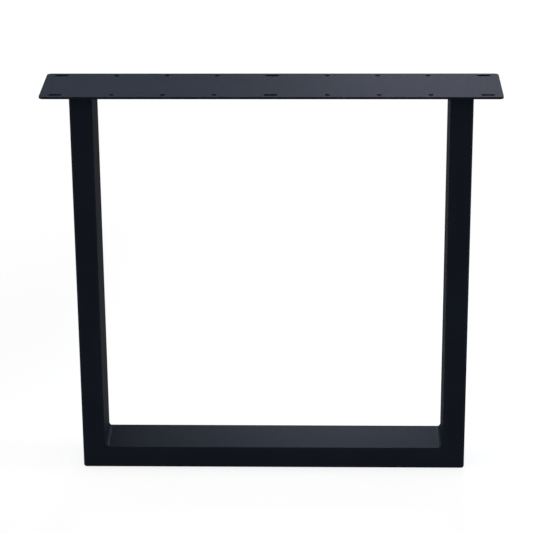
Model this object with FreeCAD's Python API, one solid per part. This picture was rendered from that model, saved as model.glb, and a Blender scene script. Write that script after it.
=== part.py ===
import FreeCAD, Part
import os

# U-shaped table leg: two uprights and a bottom rail of rectangular steel tube, mitred and welded
# into a U, with a drilled and slotted plate welded across the top to carry a tabletop.
# Millimetres. The origin is on the floor, midway between the uprights and midway front to back.
# +X runs along the plate, +Y to the back, +Z up to the tabletop.

# Frame
overall_height = 720.0  # floor to the face that the tabletop lies on
frame_width = 700.0  # over the outsides of both uprights
tube_depth = 100.0  # wide side of the tube, front to back
tube_width = 40.0  # narrow side of the tube
tube_wall = 2.0
tube_inner_radius = 2.0  # inside radius of the tube's long edges
corner_grind = 1.0  # how much rounder the ground outer corners are than the tube's own edges

# Plate
plate_thickness = 4.0
plate_end_overhang = 50.0  # plate beyond the outside of each upright
plate_side_overhang = 20.0  # plate beyond the tube, front and back
plate_corner_radius = 8.0
plate_edge_radius = 0.6  # edges broken before coating

# Holes: each row is slot, round holes, slot, round holes, slot
row_edge_margin = 13.0  # row's centre line to the plate's long edge
slot_end_margin = 27.0  # centre of an end slot to the plate's end
slot_length = 25.0  # over the rounded ends
slot_width = 9.0
hole_diameter = 9.0
hole_pitch = 89.0
holes_per_group = 3

# Welds
corner_weld_leg = 7.0  # bead in the inside corner of upright and rail
corner_weld_hollow = 1.6  # how far its face lies in from a flat one
plate_weld_leg = 4.0  # bead around the top of each upright
plate_weld_crown = 0.4  # how far its face stands out from a flat one

# Worked out from the sizes above
half_frame = frame_width / 2
tube_corner_radius = tube_inner_radius + tube_wall
ground_corner_radius = tube_corner_radius + corner_grind
plate_underside = overall_height - plate_thickness
plate_length = frame_width + 2 * plate_end_overhang
plate_depth = tube_depth + 2 * plate_side_overhang
row_y = plate_depth / 2 - row_edge_margin
end_slot_x = plate_length / 2 - slot_end_margin

# Tools that cut reach this far past what they cut, and edges are picked to within this distance
cut_margin = tube_width / 4
pick_tolerance = 1e-4

origin = FreeCAD.Vector(0, 0, 0)
x_axis = FreeCAD.Vector(1, 0, 0)
y_axis = FreeCAD.Vector(0, 1, 0)
z_axis = FreeCAD.Vector(0, 0, 1)


def near(first, second):
    return abs(first - second) < pick_tolerance


def prism_along_y(points, depth):
    """Prism from an outline of (x, z) points, centred front to back."""
    corners = [FreeCAD.Vector(x, -depth / 2, z) for x, z in points]
    outline = Part.makePolygon(corners + corners[:1])
    return Part.Face(outline).extrude(y_axis * depth)


def u_form(inset, top, edge_radius, corner_radius=None):
    """Solid U, inset from the frame's outside, with its long edges rounded."""
    outer_x = half_frame - inset
    inner_x = half_frame - tube_width + inset
    low_z = inset
    rail_z = tube_width - inset
    outline = [
        (-outer_x, top),
        (-outer_x, low_z),
        (outer_x, low_z),
        (outer_x, top),
        (inner_x, top),
        (inner_x, rail_z),
        (-inner_x, rail_z),
        (-inner_x, top),
    ]
    depth = tube_depth - 2 * inset
    form = prism_along_y(outline, depth)
    if corner_radius:
        corner_edges = [
            edge
            for edge in form.Edges
            if near(edge.BoundBox.YLength, depth) and near(edge.BoundBox.ZMax, low_z)
        ]
        form = form.makeFillet(corner_radius, corner_edges)
    long_edges = [
        edge
        for edge in form.Edges
        if near(edge.BoundBox.YLength, 0) and not near(edge.BoundBox.ZMin, top)
    ]
    return form.makeFillet(edge_radius, long_edges)


def mitred_tubes():
    """Left upright, right upright and rail: one U of tube, parted on its two mitre planes."""
    outside = u_form(0, plate_underside, tube_corner_radius, ground_corner_radius)
    hollow = u_form(tube_wall, plate_underside + cut_margin, tube_inner_radius)
    frame = outside.cut(hollow)
    inner_x = half_frame - tube_width
    above_mitre = [
        (-half_frame - cut_margin, -cut_margin),
        (-inner_x + cut_margin, tube_width + cut_margin),
        (-inner_x + cut_margin, plate_underside + cut_margin),
        (-half_frame - cut_margin, plate_underside + cut_margin),
    ]
    left_zone = prism_along_y(above_mitre, tube_depth + 2 * cut_margin)
    right_zone = left_zone.mirror(origin, x_axis)
    return frame.common(left_zone), frame.common(right_zone), frame.cut([left_zone, right_zone])


def round_cutter(x, y, diameter):
    foot = FreeCAD.Vector(x, y, plate_underside - cut_margin)
    return Part.makeCylinder(diameter / 2, plate_thickness + 2 * cut_margin, foot, z_axis)


def slot_cutter(x, y):
    """Obround along X that goes right through the plate."""
    straight = slot_length - slot_width
    height = plate_thickness + 2 * cut_margin
    corner = FreeCAD.Vector(x - straight / 2, y - slot_width / 2, plate_underside - cut_margin)
    middle = Part.makeBox(straight, slot_width, height, corner)
    ends = [round_cutter(x + side * straight / 2, y, slot_width) for side in (-1, 1)]
    return middle.multiFuse(ends)


def hole_cutters():
    """Both rows: slots in the middle and at the ends, holes grouped midway between slots."""
    cutters = []
    for y in (-row_y, row_y):
        cutters += [slot_cutter(x, y) for x in (-end_slot_x, 0, end_slot_x)]
        for group_x in (-end_slot_x / 2, end_slot_x / 2):
            for place in range(holes_per_group):
                x = group_x + (place - (holes_per_group - 1) / 2) * hole_pitch
                cutters.append(round_cutter(x, y, hole_diameter))
    return cutters


def mounting_plate():
    corner = FreeCAD.Vector(-plate_length / 2, -plate_depth / 2, plate_underside)
    plate = Part.makeBox(plate_length, plate_depth, plate_thickness, corner)
    corner_edges = [edge for edge in plate.Edges if near(edge.BoundBox.ZLength, plate_thickness)]
    plate = plate.makeFillet(plate_corner_radius, corner_edges)
    rim_edges = [edge for edge in plate.Edges if near(edge.BoundBox.ZLength, 0)]
    plate = plate.makeFillet(plate_edge_radius, rim_edges)
    return plate.cut(hole_cutters())


def bead_profile(corner, leg, bulge, along, up):
    """Outline of a fillet bead: two legs from a corner and a face that bulges between them."""
    toe = corner + along * leg
    head = corner + up * leg
    outward = (along + up).normalize()
    face_middle = (toe + head) / 2 + outward * bulge
    sides = [Part.LineSegment(head, corner), Part.LineSegment(corner, toe)]
    face_arc = Part.Arc(toe, face_middle, head)
    return Part.Wire([side.toShape() for side in sides] + [face_arc.toShape()])


def corner_weld():
    """Hollow bead along the left inside corner, as long as the tube's flat side."""
    run = tube_depth - 2 * tube_corner_radius
    corner = FreeCAD.Vector(-half_frame + tube_width, -run / 2, tube_width)
    profile = bead_profile(corner, corner_weld_leg, -corner_weld_hollow, x_axis, z_axis)
    return Part.Face(profile).extrude(y_axis * run)


def plate_weld(upright):
    """Crowned bead around the top of the left upright, under the plate."""
    top_face = max(upright.Faces, key=lambda face: face.CenterOfMass.z)
    corner = FreeCAD.Vector(-half_frame, 0, plate_underside)
    profile = bead_profile(corner, plate_weld_leg, plate_weld_crown, -x_axis, -z_axis)
    return top_face.OuterWire.makePipeShell([profile], True, True)


left_upright, right_upright, bottom_rail = mitred_tubes()
left_corner_weld = corner_weld()
left_plate_weld = plate_weld(left_upright)

nodes = {
    "top_plate": mounting_plate(),
    "left_upright": left_upright,
    "right_upright": right_upright,
    "bottom_rail": bottom_rail,
    "left_corner_weld": left_corner_weld,
    "right_corner_weld": left_corner_weld.mirror(origin, x_axis),
    "left_plate_weld": left_plate_weld,
    "right_plate_weld": left_plate_weld.mirror(origin, x_axis),
}

os.makedirs("parts", exist_ok=True)
for name, shape in nodes.items():
    shape.exportStep("parts/" + name + ".step")
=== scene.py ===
import math

import bmesh
import bpy
from mathutils import Matrix, Vector


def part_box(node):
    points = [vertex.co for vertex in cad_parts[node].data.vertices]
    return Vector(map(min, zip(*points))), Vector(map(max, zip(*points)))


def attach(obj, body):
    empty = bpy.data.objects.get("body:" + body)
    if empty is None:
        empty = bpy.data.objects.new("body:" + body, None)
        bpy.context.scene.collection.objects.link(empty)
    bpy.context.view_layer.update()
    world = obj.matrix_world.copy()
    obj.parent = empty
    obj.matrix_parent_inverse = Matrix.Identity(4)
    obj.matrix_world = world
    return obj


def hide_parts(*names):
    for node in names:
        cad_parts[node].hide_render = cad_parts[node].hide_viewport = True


# U-shaped table leg: black powder-coated steel tube frame under a drilled and slotted plate.
# Metres, in the frame of the solids: +X along the plate, +Y to the back, +Z up to the tabletop.

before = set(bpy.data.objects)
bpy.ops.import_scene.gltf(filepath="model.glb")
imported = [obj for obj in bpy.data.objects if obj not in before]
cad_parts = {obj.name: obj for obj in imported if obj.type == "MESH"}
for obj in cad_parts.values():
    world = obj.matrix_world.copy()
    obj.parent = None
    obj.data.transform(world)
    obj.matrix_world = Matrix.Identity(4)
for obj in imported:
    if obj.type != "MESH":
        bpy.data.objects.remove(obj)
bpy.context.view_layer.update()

# Weld beads
tube_edge_radius = 0.004
corner_bead_bulge = -0.0016  # the bead's face lies this far in from a flat one
plate_bead_bulge = 0.0004  # and this one stands out from it
bead_arc_steps = 10
bead_travel_step = 0.0006
bead_end_taper = 0.002
bead_end_area = 0.06  # share of the bead's section that is left at its very ends
tube_corner_steps = 14
ripple_pitch = 0.0034
ripple_depth = 0.00035
ripple_level = 0.5  # share of a ripple's height that lies below the plain face
ripple_bow = 0.45  # how far the middle of a ripple leads its ends, in ripples
ripple_crest = 0.8  # where the crest lies, in ripples
ripple_rise = 1.5  # power of the slow rise to the crest
ripple_margin = 0.01  # share of the bead's leg, next to the steel, that has no ripples
merge_distance = 1e-6
sharp_edge_angle = math.radians(50)

# Coat colours
coat_deep = (0.0070, 0.0093, 0.0136, 1)
coat_pale = (0.0084, 0.0111, 0.0164, 1)
coat_roughness = (0.66, 0.74)
coat_specular = 0.0088
weld_roughness = (0.58, 0.68)

# Coat texture: scales in repeats per metre, heights in metres
tone_scale = 11.0
tone_detail = 4
peel_scale = 430.0
peel_detail = 2
peel_height = 0.00002
grain_scale = 2600.0
grain_detail = 1
grain_height = 0.000006
noise_middle = (0.3, 0.7)  # most of a noise lies between these values

# Floor and surround
floor_half_width = 40.0
floor_gap = 0.0002
floor_colour = (0.65, 0.65, 0.65, 1)
floor_sheet_colour = (0.95, 0.95, 0.95, 1)
floor_white_share = 0.8  # of the floor's look beside the leg, and all of it farther away
floor_shadow_reach = (0.5, 1.5)
surround_white = (1, 1, 1, 1)
world_level = 0.85

# Softboxes: low ones behind the leg for the shine on its tops, and one at each side
back_box_height = 0.3
back_box_beam = math.radians(26)
left_light = (0.60, 0.74, 1.0)
right_light = (0.77, 0.80, 1.0)
rail_light = (0.72, 0.79, 1.0)
side_box_beam = math.radians(30)
side_light = (0.94, 0.96, 1.0)

# Camera, in metres, radians and pixels of a square picture
picture_side = 533
focal_pixels = 2252.83
camera_place = Vector((0.09421, -3.76609, 1.88400))
camera_yaw = -0.0280
camera_pitch = 0.3800
camera_roll = -0.0083
camera_reach = 200.0
sensor_width = 36.0


def new_piece(name, bm, coat, stands_for):
    """Mesh piece from a bmesh, carried by the frame in place of a solid."""
    mesh = bpy.data.meshes.new(name)
    bm.to_mesh(mesh)
    bm.free()
    mesh.materials.append(coat)
    piece = bpy.data.objects.new(name, mesh)
    bpy.context.scene.collection.objects.link(piece)
    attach(piece, "root")
    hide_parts(stands_for)


def bead_outline(bm, corner, leg, bulge, along, up):
    """Closed outline of a fillet bead: two legs from a corner and a crowned or hollow face."""
    toe_place = corner + along * leg
    head_place = corner + up * leg
    outward = (along + up).normalized()
    half_chord = (head_place - toe_place).length / 2
    arc_reach = (half_chord ** 2 - bulge ** 2) / (2 * bulge)
    arc_centre = (toe_place + head_place) / 2 - outward * arc_reach
    turn = (toe_place - arc_centre).angle(head_place - arc_centre)
    turn = math.copysign(turn, bulge)
    toe = bm.verts.new(toe_place)
    arc = bmesh.ops.spin(
        bm, geom=[toe], cent=arc_centre, axis=along.cross(up), angle=turn, steps=bead_arc_steps
    )
    head = [part for part in arc["geom_last"] if isinstance(part, bmesh.types.BMVert)][0]
    root = bm.verts.new(corner)
    bm.edges.new((head, root))
    bm.edges.new((root, toe))
    return list(bm.edges)


def draw_out(bm, edges, offset):
    """Carries an outline along a straight run, in short steps."""
    steps = max(1, round(offset.length / bead_travel_step))
    for _ in range(steps):
        grown = bmesh.ops.extrude_edge_only(bm, edges=edges)["geom"]
        verts = [part for part in grown if isinstance(part, bmesh.types.BMVert)]
        fresh = set(verts)
        edges = [
            part
            for part in grown
            if isinstance(part, bmesh.types.BMEdge) and fresh.issuperset(part.verts)
        ]
        bmesh.ops.translate(bm, verts=verts, vec=offset / steps)
    return edges


def turn_round(bm, edges, centre, angle):
    """Carries an outline round a corner of the tube."""
    verts = list({vert for edge in edges for vert in edge.verts})
    turned = bmesh.ops.spin(
        bm,
        geom=verts + edges,
        cent=centre,
        axis=(0, 0, 1),
        angle=angle,
        steps=tube_corner_steps,
    )["geom_last"]
    return [part for part in turned if isinstance(part, bmesh.types.BMEdge)]


def ripple(travel, across):
    """Height of a weld ripple: bowed crests that rise slowly and drop quickly."""
    lead = ripple_bow * (1 - (2 * across - 1) ** 2)
    phase = (travel / ripple_pitch + lead) % 1
    if phase < ripple_crest:
        height = phase ** ripple_rise
    else:
        height = (1 - phase) / (1 - ripple_crest) * ripple_crest ** ripple_rise
    return ripple_depth * (height - ripple_level) * math.sin(math.pi * across)


def finish_bead(bm):
    """Closes a bead's seams, points its faces outwards and smooths all but its sharp edges."""
    bmesh.ops.remove_doubles(bm, verts=bm.verts, dist=merge_distance)
    bmesh.ops.recalc_face_normals(bm, faces=bm.faces)
    for face in bm.faces:
        face.smooth = True
    for edge in bm.edges:
        if len(edge.link_faces) == 2 and edge.calc_face_angle(0) > sharp_edge_angle:
            edge.smooth = False


def corner_bead(side, name, coat):
    """Rippled bead in the inside corner of an upright and the rail."""
    low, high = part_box(name)
    run = high.y - low.y
    leg = high.z - low.z
    root_x = low.x if side < 0 else high.x
    corner = Vector((root_x, low.y, low.z))
    along = Vector((-side, 0, 0))
    up = Vector((0, 0, 1))
    bm = bmesh.new()
    front_edges = bead_outline(bm, corner, leg, corner_bead_bulge, along, up)
    back_edges = draw_out(bm, front_edges, Vector((0, run, 0)))
    bmesh.ops.edgeloop_fill(bm, edges=front_edges)
    bmesh.ops.edgeloop_fill(bm, edges=back_edges)
    outward = (along + up).normalized()
    for vert in bm.verts:
        from_corner = vert.co - corner
        reach_along = from_corner.dot(along)
        reach_up = from_corner.dot(up)
        travel = from_corner.y
        if min(reach_along, reach_up) > leg * ripple_margin:
            across = reach_up / (reach_up + reach_along)
            vert.co += outward * ripple(travel, across)
        past_taper = bead_end_taper - min(travel, run - travel)
        if past_taper > 0:
            narrowing = math.sqrt(max(bead_end_area, 1 - (past_taper / bead_end_taper) ** 2))
            vert.co.x = corner.x + (vert.co.x - corner.x) * narrowing
            vert.co.z = corner.z + (vert.co.z - corner.z) * narrowing
    finish_bead(bm)
    new_piece(name + "_bead", bm, coat, name)


def round_the_tube(place, flat_x, flat_y):
    """Way along a tube's outline, the direction away from the tube, and the distance from it."""
    near = Vector((max(-flat_x, min(flat_x, place.x)), max(-flat_y, min(flat_y, place.y)), 0))
    offset = Vector((place.x, place.y, 0)) - near
    away = offset.normalized()
    bend = math.atan2(away.y, away.x) % (2 * math.pi)
    if bend < math.pi / 4 or bend > 7 * math.pi / 4:
        travel = near.y + flat_y
    elif bend < 3 * math.pi / 4:
        travel = 2 * flat_y + flat_x - near.x
    elif bend < 5 * math.pi / 4:
        travel = 2 * flat_y + 2 * flat_x + flat_y - near.y
    else:
        travel = 4 * flat_y + 2 * flat_x + near.x + flat_x
    return travel + bend * tube_edge_radius, away, offset.length - tube_edge_radius


def plate_bead(name, coat):
    """Rippled bead around the top of an upright, under the plate."""
    low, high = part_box(name)
    leg = high.z - low.z
    middle = (low + high) / 2
    half_x = (high.x - low.x) / 2 - leg
    half_y = (high.y - low.y) / 2 - leg
    flat_x = half_x - tube_edge_radius
    flat_y = half_y - tube_edge_radius
    top = high.z
    down = Vector((0, 0, -1))
    bm = bmesh.new()
    corner = Vector((middle.x + half_x, middle.y - flat_y, top))
    edges = bead_outline(bm, corner, leg, plate_bead_bulge, Vector((1, 0, 0)), down)
    runs = [
        (Vector((0, 2 * flat_y, 0)), (flat_x, flat_y)),
        (Vector((-2 * flat_x, 0, 0)), (-flat_x, flat_y)),
        (Vector((0, -2 * flat_y, 0)), (-flat_x, -flat_y)),
        (Vector((2 * flat_x, 0, 0)), (flat_x, -flat_y)),
    ]
    for offset, (turn_x, turn_y) in runs:
        edges = draw_out(bm, edges, offset)
        centre = Vector((middle.x + turn_x, middle.y + turn_y, top))
        edges = turn_round(bm, edges, centre, math.pi / 2)
    bmesh.ops.remove_doubles(bm, verts=bm.verts, dist=merge_distance)
    for vert in bm.verts:
        travel, away, reach_out = round_the_tube(vert.co - middle, flat_x, flat_y)
        reach_down = top - vert.co.z
        if min(reach_down, reach_out) > leg * ripple_margin:
            across = reach_down / (reach_down + reach_out)
            outward = (away + down).normalized()
            vert.co += outward * ripple(travel, across)
    finish_bead(bm)
    new_piece(name + "_bead", bm, coat, name)


def noise(nodes, links, place, scale, detail):
    """Noise texture over a place, as a value."""
    texture = nodes.new("ShaderNodeTexNoise")
    texture.inputs["Scale"].default_value = scale
    texture.inputs["Detail"].default_value = detail
    links.new(place, texture.inputs["Vector"])
    return texture.outputs["Fac"]


def spread(nodes, links, value, low, high):
    """Stretches the middle of a noise over a range of values."""
    ranged = nodes.new("ShaderNodeMapRange")
    ranged.inputs["From Min"].default_value = noise_middle[0]
    ranged.inputs["From Max"].default_value = noise_middle[1]
    ranged.inputs["To Min"].default_value = low
    ranged.inputs["To Max"].default_value = high
    links.new(value, ranged.inputs["Value"])
    return ranged.outputs["Result"]


def powder_coat(name, roughness):
    """Black powder coat: slow change of tone, orange peel and a fine grain."""
    coat = bpy.data.materials.new(name)
    coat.use_nodes = True
    nodes = coat.node_tree.nodes
    links = coat.node_tree.links
    shader = nodes["Principled BSDF"]
    shader.inputs["Specular IOR Level"].default_value = coat_specular
    place = nodes.new("ShaderNodeTexCoord").outputs["Object"]
    tone = noise(nodes, links, place, tone_scale, tone_detail)
    peel = noise(nodes, links, place, peel_scale, peel_detail)
    grain = noise(nodes, links, place, grain_scale, grain_detail)

    tint = nodes.new("ShaderNodeMix")
    tint.data_type = "RGBA"
    tint.inputs["A"].default_value = coat_deep
    tint.inputs["B"].default_value = coat_pale
    links.new(spread(nodes, links, tone, 0, 1), tint.inputs["Factor"])
    links.new(tint.outputs["Result"], shader.inputs["Base Color"])
    links.new(spread(nodes, links, peel, *roughness), shader.inputs["Roughness"])

    peel_bump = nodes.new("ShaderNodeBump")
    peel_bump.inputs["Distance"].default_value = peel_height
    links.new(peel, peel_bump.inputs["Height"])
    grain_bump = nodes.new("ShaderNodeBump")
    grain_bump.inputs["Distance"].default_value = grain_height
    links.new(grain, grain_bump.inputs["Height"])
    links.new(peel_bump.outputs["Normal"], grain_bump.inputs["Normal"])
    links.new(grain_bump.outputs["Normal"], shader.inputs["Normal"])
    return coat


def white_to_the_eye(nodes, links):
    """1 for camera, glossy and transmission rays, 0 for the light that falls on things."""
    path = nodes.new("ShaderNodeLightPath")
    seen = path.outputs["Is Camera Ray"]
    for ray in ("Is Glossy Ray", "Is Transmission Ray"):
        either = nodes.new("ShaderNodeMath")
        either.operation = "MAXIMUM"
        links.new(seen, either.inputs[0])
        links.new(path.outputs[ray], either.inputs[1])
        seen = either.outputs["Value"]
    return seen


def studio_floor():
    """Pale floor that looks white, keeps a faint shadow beside the leg and is clear from below."""
    bm = bmesh.new()
    bmesh.ops.create_grid(bm, x_segments=1, y_segments=1, size=floor_half_width)
    bmesh.ops.translate(bm, verts=bm.verts, vec=(0, 0, -floor_gap))
    mesh = bpy.data.meshes.new("floor")
    bm.to_mesh(mesh)
    bm.free()
    paper = bpy.data.materials.new("pale_floor")
    paper.use_nodes = True
    nodes = paper.node_tree.nodes
    links = paper.node_tree.links
    nodes.clear()

    matt = nodes.new("ShaderNodeBsdfDiffuse")
    matt.inputs["Color"].default_value = floor_colour
    sheet = nodes.new("ShaderNodeBsdfDiffuse")
    sheet.inputs["Color"].default_value = floor_sheet_colour
    glow = nodes.new("ShaderNodeEmission")
    distance = nodes.new("ShaderNodeVectorMath")
    distance.operation = "LENGTH"
    links.new(nodes.new("ShaderNodeTexCoord").outputs["Object"], distance.inputs[0])
    share = nodes.new("ShaderNodeMapRange")
    share.interpolation_type = "SMOOTHSTEP"
    share.inputs["From Min"].default_value = floor_shadow_reach[0]
    share.inputs["From Max"].default_value = floor_shadow_reach[1]
    share.inputs["To Min"].default_value = floor_white_share
    share.inputs["To Max"].default_value = 1
    links.new(distance.outputs["Value"], share.inputs["Value"])
    seen = nodes.new("ShaderNodeMixShader")
    links.new(share.outputs["Result"], seen.inputs["Fac"])
    links.new(sheet.outputs["BSDF"], seen.inputs[1])
    links.new(glow.outputs["Emission"], seen.inputs[2])

    mix = nodes.new("ShaderNodeMixShader")
    links.new(white_to_the_eye(nodes, links), mix.inputs["Fac"])
    links.new(matt.outputs["BSDF"], mix.inputs[1])
    links.new(seen.outputs["Shader"], mix.inputs[2])
    clear = nodes.new("ShaderNodeBsdfTransparent")
    sided = nodes.new("ShaderNodeMixShader")
    links.new(nodes.new("ShaderNodeNewGeometry").outputs["Backfacing"], sided.inputs["Fac"])
    links.new(mix.outputs["Shader"], sided.inputs[1])
    links.new(clear.outputs["BSDF"], sided.inputs[2])
    output = nodes.new("ShaderNodeOutputMaterial")
    links.new(sided.outputs["Shader"], output.inputs["Surface"])

    mesh.materials.append(paper)
    floor = bpy.data.objects.new("floor", mesh)
    bpy.context.scene.collection.objects.link(floor)


def studio_world():
    """Even light from all round, that looks white."""
    world = bpy.data.worlds.new("studio")
    bpy.context.scene.world = world
    world.use_nodes = True
    nodes = world.node_tree.nodes
    links = world.node_tree.links
    nodes.clear()
    light = nodes.new("ShaderNodeBackground")
    light.inputs["Strength"].default_value = world_level
    light.inputs["Color"].default_value = surround_white
    white = nodes.new("ShaderNodeBackground")
    white.inputs["Color"].default_value = surround_white
    mix = nodes.new("ShaderNodeMixShader")
    links.new(white_to_the_eye(nodes, links), mix.inputs["Fac"])
    links.new(light.outputs["Background"], mix.inputs[1])
    links.new(white.outputs["Background"], mix.inputs[2])
    output = nodes.new("ShaderNodeOutputWorld")
    links.new(mix.outputs["Shader"], output.inputs["Surface"])


def softbox(name, place, aim, width, height, watts, beam, colour):
    """Rectangular lamp with a narrow beam, that the camera doesn't see."""
    lamp = bpy.data.lights.new(name, "AREA")
    lamp.shape = "RECTANGLE"
    lamp.size = width
    lamp.size_y = height
    lamp.energy = watts
    lamp.color = colour
    lamp.spread = beam
    holder = bpy.data.objects.new(name, lamp)
    holder.location = place
    holder.visible_camera = False
    holder.rotation_euler = (aim - place).to_track_quat("-Z", "Y").to_euler()
    bpy.context.scene.collection.objects.link(holder)


def studio_lamps():
    """The beams from behind pass over the plate and under the rail, so the backs stay dark."""
    softbox(
        "left_softbox",
        place=Vector((-0.55, 2.2, 1.08)),
        aim=Vector((-0.27, 0, 1.0)),
        width=1.0,
        height=back_box_height,
        watts=1.75,
        beam=back_box_beam,
        colour=left_light,
    )
    softbox(
        "right_softbox",
        place=Vector((0.55, 2.2, 1.08)),
        aim=Vector((0.50, 0, 1.0)),
        width=0.9,
        height=back_box_height,
        watts=3.55,
        beam=back_box_beam,
        colour=right_light,
    )
    softbox(
        "rail_softbox",
        place=Vector((0.22, 2.3, 0.48)),
        aim=Vector((0.11, 0, -0.25)),
        width=0.7,
        height=back_box_height,
        watts=4.35,
        beam=back_box_beam,
        colour=rail_light,
    )
    for side, hand in ((-1, "left"), (1, "right")):
        softbox(
            hand + "_side_softbox",
            place=Vector((side * 2.6, 0, 0.8)),
            aim=Vector((side * 0.35, 0, 0.38)),
            width=0.2,
            height=0.9,
            watts=2.0,
            beam=side_box_beam,
            colour=side_light,
        )


def studio_camera():
    """Camera at the photograph's viewing angle."""
    lens = bpy.data.cameras.new("camera")
    lens.sensor_width = sensor_width
    lens.lens = focal_pixels / picture_side * sensor_width
    lens.clip_end = camera_reach
    camera = bpy.data.objects.new("camera", lens)
    turn = (
        Matrix.Rotation(-camera_yaw, 3, "Z")
        @ Matrix.Rotation(math.pi / 2 - camera_pitch, 3, "X")
        @ Matrix.Rotation(camera_roll, 3, "Z")
    )
    camera.matrix_world = Matrix.Translation(camera_place) @ turn.to_4x4()
    bpy.context.scene.collection.objects.link(camera)
    bpy.context.scene.camera = camera


tube_coat = powder_coat("black_powder_coat", coat_roughness)
weld_coat = powder_coat("coated_weld", weld_roughness)
for part in ("top_plate", "left_upright", "right_upright", "bottom_rail"):
    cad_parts[part].material_slots[0].material = tube_coat
for side, hand in ((-1, "left"), (1, "right")):
    corner_bead(side, hand + "_corner_weld", weld_coat)
    plate_bead(hand + "_plate_weld", weld_coat)

studio_floor()
studio_world()
studio_lamps()
studio_camera()
bpy.context.scene.view_settings.view_transform = "Standard"
